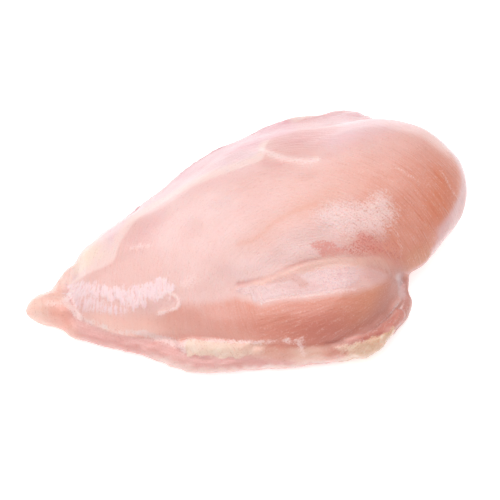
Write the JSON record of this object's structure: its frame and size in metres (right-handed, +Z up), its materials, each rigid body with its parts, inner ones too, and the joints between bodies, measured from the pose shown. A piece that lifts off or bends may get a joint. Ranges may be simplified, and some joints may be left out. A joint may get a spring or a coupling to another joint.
{
  "type": "raw chicken breast",
  "caption": "Raw boneless, skinless half chicken breast lying flat: thick rounded shoulder end, pointed tip, folded front lobe and a roll of fat along the near edge.",
  "frame": {"origin": "centre of the bounding box, on the flat underside that lies on the table", "axes": "+X along the muscle from the pointed tip to the thick shoulder end, -Y the side with the front lobe and the fat, +Z up"},
  "size_m": [0.183, 0.115, 0.0406],
  "materials": {
    "raw_meat": "wet, slightly translucent raw meat with a soft gloss"
  },
  "bodies": {
    "root": {"breast": "raw_meat"}
  },
  "joints": []
}
